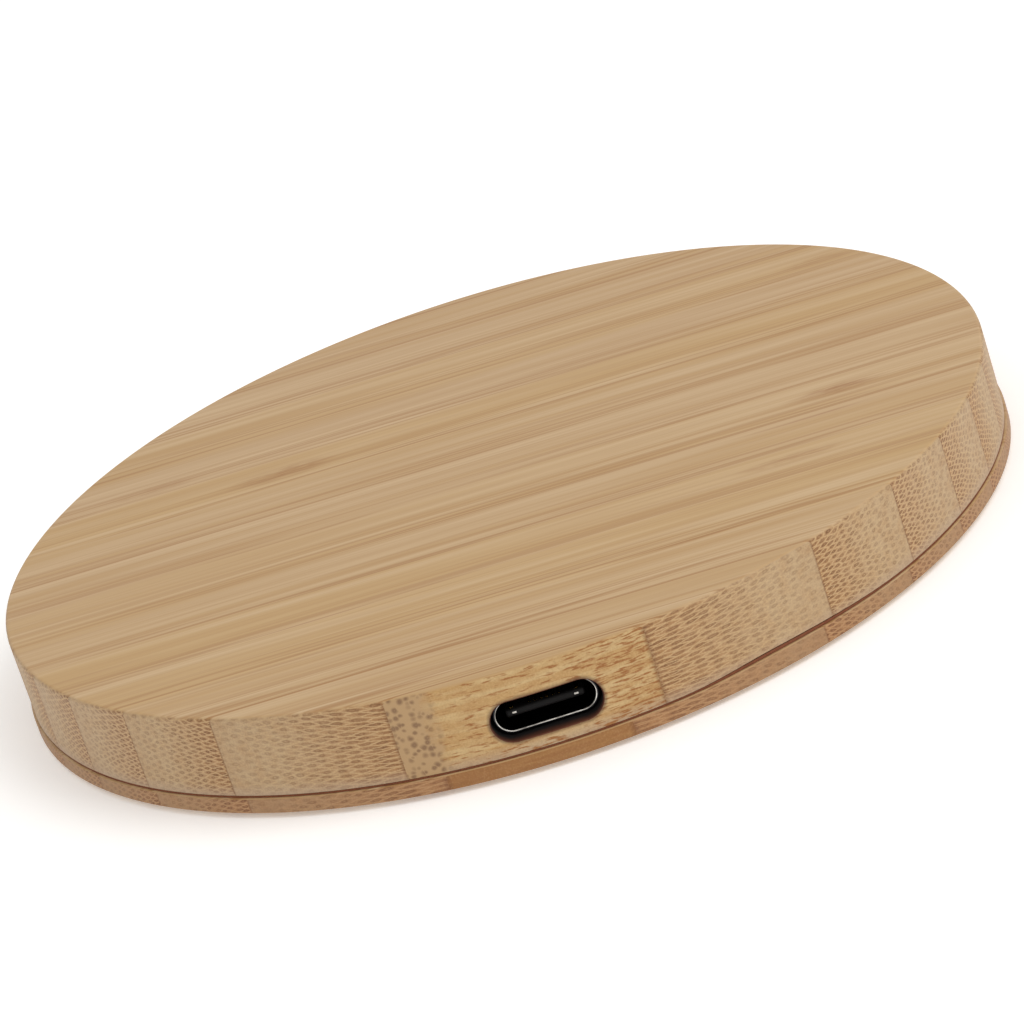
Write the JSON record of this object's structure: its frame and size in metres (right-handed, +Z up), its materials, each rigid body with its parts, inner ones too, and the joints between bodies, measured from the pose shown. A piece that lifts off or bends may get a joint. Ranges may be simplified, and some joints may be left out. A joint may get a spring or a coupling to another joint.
{
  "type": "wireless charging pad",
  "caption": "Thin round bamboo wireless charging pad with a flat charging surface, a USB-C inlet in its rim, a coil and circuit board inside, and rubber feet below.",
  "frame": {"origin": "centre of the pad on the surface it stands on, level with the undersides of its rubber feet", "axes": "+Z up, square to the charging surface; the USB-C inlet faces -Y"},
  "size_m": [0.0904, 0.0904, 0.0093],
  "materials": {
    "bamboo": "sanded and lightly oiled, satin",
    "bamboo_laser_cut": "laser-cut edge, matt",
    "adhesive_tape": "matt",
    "adhesive_film": "semi-gloss",
    "foam": "matt",
    "rubber": "matt",
    "black_plated_steel": "black plated, satin",
    "stainless_steel": "satin",
    "gold_plated_copper": "polished plating",
    "black_plastic": "moulded, satin",
    "solder_mask": "semi-gloss",
    "litz_wire": "enamelled",
    "ferrite": "matt",
    "capacitor_ceramic": "satin",
    "inductor_grey": "matt",
    "thermistor_metal": "tinned",
    "epoxy_moulding": "moulded, matt"
  },
  "bodies": {
    "root": {"base_adhesive_ring": "adhesive_tape", "base_plate": "bamboo_laser_cut", "board_foam_pad": "foam", "bridge_mosfet_1": "epoxy_moulding", "bridge_mosfet_2": "epoxy_moulding", "cc_resistor_1": "epoxy_moulding", "cc_resistor_2": "epoxy_moulding", "circuit_board": "solder_mask", "coil_adhesive_film": "adhesive_film", "controller_ic": "epoxy_moulding", "current_sense_resistor": "epoxy_moulding", "decoupling_capacitor_1": "capacitor_ceramic", "decoupling_capacitor_2": "capacitor_ceramic", "decoupling_capacitor_3": "capacitor_ceramic", "decoupling_capacitor_4": "capacitor_ceramic", "ferrite_sheet": "ferrite", "input_capacitor_1": "capacitor_ceramic", "input_capacitor_2": "capacitor_ceramic", "input_fuse": "capacitor_ceramic", "power_inductor": "inductor_grey", "regulator_ic": "epoxy_moulding", "resonant_capacitor_1": "capacitor_ceramic", "resonant_capacitor_2": "capacitor_ceramic", "resonant_capacitor_3": "capacitor_ceramic", "resonant_capacitor_4": "capacitor_ceramic", "rubber_foot_1": "rubber", "rubber_foot_2": "rubber", "rubber_foot_3": "rubber", "rubber_foot_4": "rubber", "surge_diode": "epoxy_moulding", "thermistor": "thermistor_metal", "transmitter_coil": "litz_wire", "upper_body": "bamboo", "usb_c_contact_a1": "gold_plated_copper", "usb_c_contact_a12": "gold_plated_copper", "usb_c_contact_a4": "gold_plated_copper", "usb_c_contact_a5": "gold_plated_copper", "usb_c_contact_a6": "gold_plated_copper", "usb_c_contact_a7": "gold_plated_copper", "usb_c_contact_a8": "gold_plated_copper", "usb_c_contact_a9": "gold_plated_copper", "usb_c_contact_b1": "gold_plated_copper", "usb_c_contact_b12": "gold_plated_copper", "usb_c_contact_b4": "gold_plated_copper", "usb_c_contact_b5": "gold_plated_copper", "usb_c_contact_b6": "gold_plated_copper", "usb_c_contact_b7": "gold_plated_copper", "usb_c_contact_b8": "gold_plated_copper", "usb_c_contact_b9": "gold_plated_copper", "usb_c_insulator": "black_plastic", "usb_c_mid_plate": "stainless_steel", "usb_c_shell": "black_plated_steel"}
  },
  "joints": []
}
